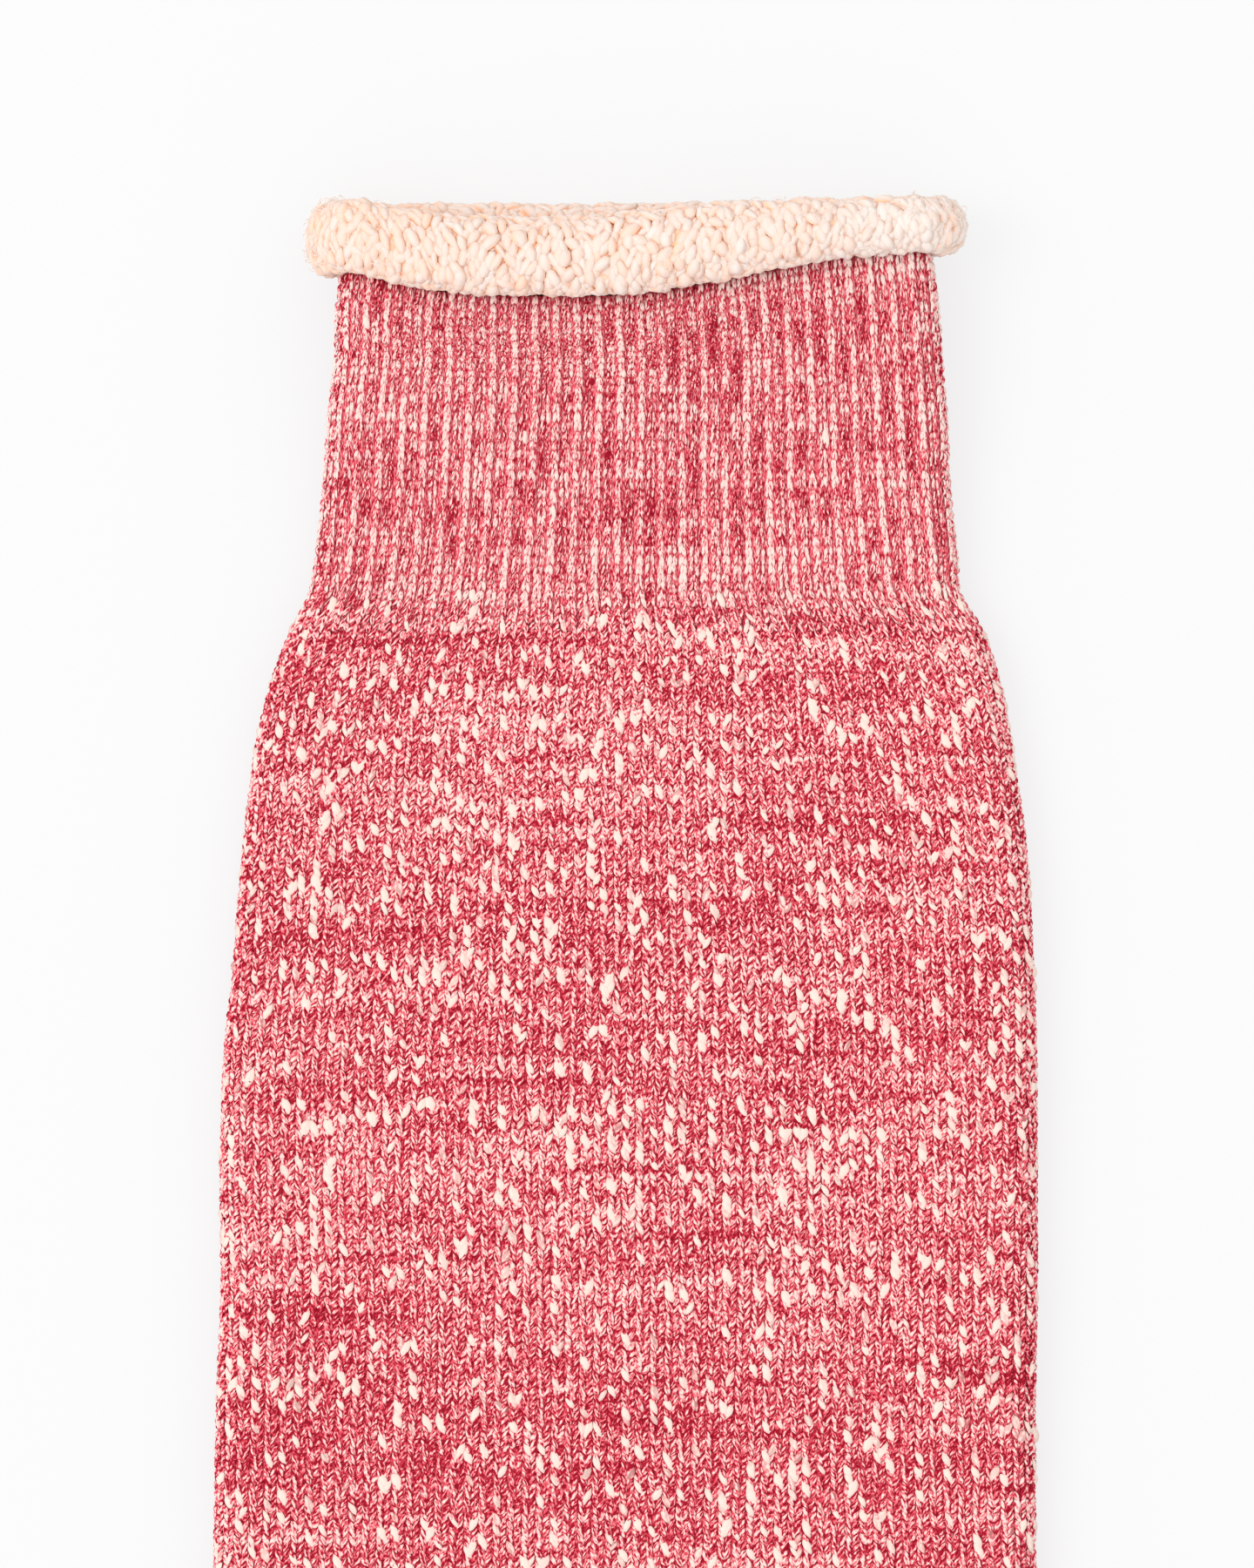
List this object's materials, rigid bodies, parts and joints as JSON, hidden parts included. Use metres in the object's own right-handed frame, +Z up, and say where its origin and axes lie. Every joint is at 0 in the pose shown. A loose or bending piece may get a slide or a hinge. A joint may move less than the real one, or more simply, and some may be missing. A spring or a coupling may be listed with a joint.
{
  "type": "sock",
  "caption": "Thick knitted crew sock laid flat on its side: rolled terry top, ribbed cuff, plain marled leg, turned heel, foot and closed toe.",
  "frame": {"origin": "on the surface that the sock lies on, under the middle of the sock's box", "axes": "+Z up from the surface, +Y along the leg towards the sock's top, +X towards the toe"},
  "size_m": [0.233, 0.3388, 0.0166],
  "materials": {
    "cream_loops": "cream and pale peach looped terry lining",
    "red_marl_rib": "ribbed knit of a twisted red, pink and cream marl yarn, matt",
    "red_marl_plain": "plain knit of a twisted red and pink marl yarn with cream slubs, matt"
  },
  "bodies": {
    "root": {"rolled_top": "cream_loops", "rib_cuff": "red_marl_rib", "leg": "red_marl_plain", "heel": "red_marl_plain", "foot": "red_marl_plain", "toe": "red_marl_plain"}
  },
  "joints": []
}
